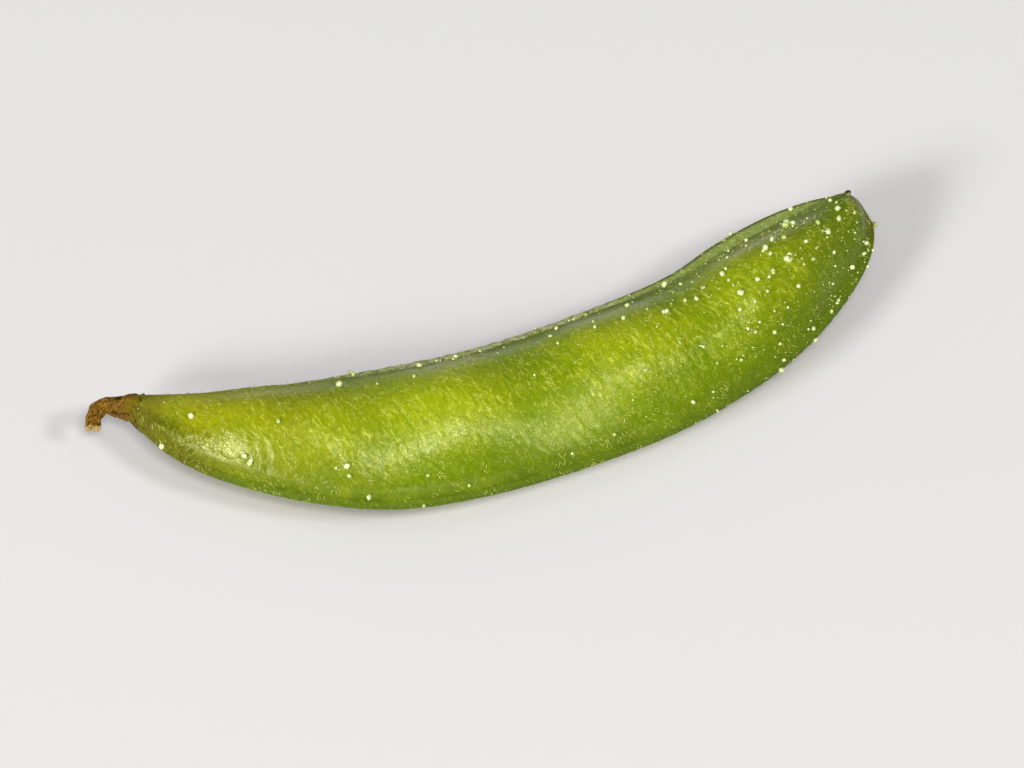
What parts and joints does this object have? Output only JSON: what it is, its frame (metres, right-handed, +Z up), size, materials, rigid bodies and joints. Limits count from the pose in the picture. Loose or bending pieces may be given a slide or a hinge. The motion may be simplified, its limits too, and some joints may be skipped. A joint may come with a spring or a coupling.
{
  "type": "edamame pod",
  "caption": "Boiled and salted soybean pod with bean bulges, two seams, a short beak and a dried hooked stalk, lying on its broad side as food on a table.",
  "frame": {"origin": "centre of the bounding box's base, on the surface that the pod lies on", "axes": "+X along the pod from the stalk to the beak, +Y across it from the bulging seam to the straight seam, +Z up through its thickness"},
  "size_m": [0.062, 0.0182, 0.009],
  "materials": {
    "pod_skin": "satin, boiled and moist, yellow-green with a silvery bloom of short hairs",
    "dried_calyx": "matt, withered, brown and grey-green",
    "dried_stalk": "matt, dried, mottled brown and tan",
    "hair": "fine silvery hairs lying along the skin",
    "salt": "small clear and white salt crystals"
  },
  "bodies": {
    "root": {"pod": "pod_skin", "calyx": "dried_calyx", "stalk": "dried_stalk"}
  },
  "joints": []
}
